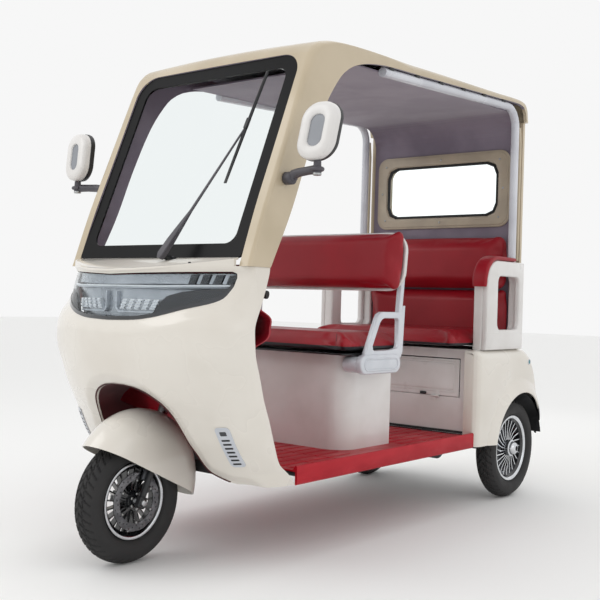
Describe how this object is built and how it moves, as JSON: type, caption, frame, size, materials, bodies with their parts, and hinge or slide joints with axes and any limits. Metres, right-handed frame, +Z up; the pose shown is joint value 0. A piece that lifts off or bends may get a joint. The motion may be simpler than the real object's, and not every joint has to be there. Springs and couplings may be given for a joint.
{
  "type": "electric passenger tricycle",
  "caption": "Electric tricycle with a full cab, wrap-over roof, driver's seat and rear passenger bench.",
  "frame": {"origin": "on the ground under the middle of the vehicle's overall length and width", "axes": "+X forward, +Y to the driver's left, +Z up; the front axle is at x = 1.114 m"},
  "size_m": [2.682, 1.4248, 2.042],
  "materials": {
    "cream_body": "pearl gloss",
    "tan_shell": "satin",
    "white_panel": "satin",
    "red_floor": "gloss",
    "red_leatherette": "soft sheen",
    "grey_liner": "matt",
    "frame_black": "satin",
    "motor_grey": "cast",
    "battery_case": "matt",
    "black_plastic": "matt",
    "clear_glass": "clear",
    "silver_plastic": "satin silver",
    "rail_grey": "satin",
    "mirror_white": "gloss",
    "mirror_glass": "polished",
    "tail_red": "gloss",
    "rim_metal": "machined",
    "rim_chrome": "polished",
    "disc_steel": "brushed",
    "tyre_rubber": "matt"
  },
  "bodies": {
    "cab": {"chassis_frame": "frame_black", "rear_axle": "frame_black", "drive_motor": "motor_grey", "leaf_springs": "frame_black", "battery_pack": "battery_case", "floor_pan": "red_floor", "front_cowl": "cream_body", "inner_cowl": "red_floor", "headlamp_housing": "black_plastic", "headlamp_lens": "clear_glass", "cowl_vents": "silver_plastic", "windshield_border": "black_plastic", "cab_glass": "clear_glass", "roof_shell": "tan_shell", "cab_liner": "grey_liner", "cab_rails": "rail_grey", "rear_wall": "tan_shell", "rear_window_trim": "tan_shell", "rear_fenders": "cream_body", "tail_panel": "cream_body", "tail_lamps": "tail_red", "armrests": "white_panel", "armrest_pads": "red_leatherette", "driver_seat_box": "white_panel", "driver_backrest": "red_leatherette", "driver_backrest_shell": "white_panel", "seat_brackets": "silver_plastic", "rear_seat_box": "white_panel", "rear_seat_cushion": "red_leatherette", "rear_backrests": "red_leatherette", "mirror_arms": "black_plastic", "mirror_housings": "mirror_white", "mirror_glasses": "mirror_glass"},
    "seat_lid": {"driver_seat_cushion": "red_leatherette"},
    "storage_door": {"rear_box_door": "white_panel"},
    "wiper_arm": {"wiper": "black_plastic"},
    "steering": {"fork": "frame_black", "front_fender": "cream_body", "handlebar": "black_plastic"},
    "front_wheel": {"front_rim": "rim_metal", "front_tyre": "tyre_rubber", "brake_disc": "disc_steel"},
    "rear_wheel_left": {"rear_rim_left": "rim_chrome", "rear_tyre_left": "tyre_rubber"},
    "rear_wheel_right": {"rear_rim_right": "rim_chrome", "rear_tyre_right": "tyre_rubber"}
  },
  "joints": [
    {"name": "steer", "type": "hinge", "parent": "cab", "child": "steering", "pos_m": [1.194, 0, 0], "axis": [-0.4067, 0, 0.9135], "range_deg": [-35, 35]},
    {"name": "front_wheel_spin", "type": "hinge", "parent": "steering", "child": "front_wheel", "pos_m": [1.114, 0, 0.227], "axis": [0, 1, 0], "continuous": true},
    {"name": "rear_wheel_left_spin", "type": "hinge", "parent": "cab", "child": "rear_wheel_left", "pos_m": [-1.041, 0.423, 0.249], "axis": [0, 1, 0], "continuous": true},
    {"name": "rear_wheel_right_spin", "type": "hinge", "parent": "cab", "child": "rear_wheel_right", "pos_m": [-1.041, -0.423, 0.249], "axis": [0, 1, 0], "continuous": true},
    {"name": "wiper_sweep", "type": "hinge", "parent": "cab", "child": "wiper_arm", "pos_m": [1.08758, 0.124, 1.11652], "axis": [0.9275, 0, 0.3738], "range_deg": [-4, 52]},
    {"name": "driver_seat_lid", "type": "hinge", "parent": "cab", "child": "seat_lid", "pos_m": [-0.105, 0, 0.75], "axis": [0, -1, 0], "range_deg": [0, 36]},
    {"name": "storage_door_hinge", "type": "hinge", "parent": "cab", "child": "storage_door", "pos_m": [-0.621, 0, 0.524], "axis": [0, 1, 0], "range_deg": [0, 85]}
  ]
}
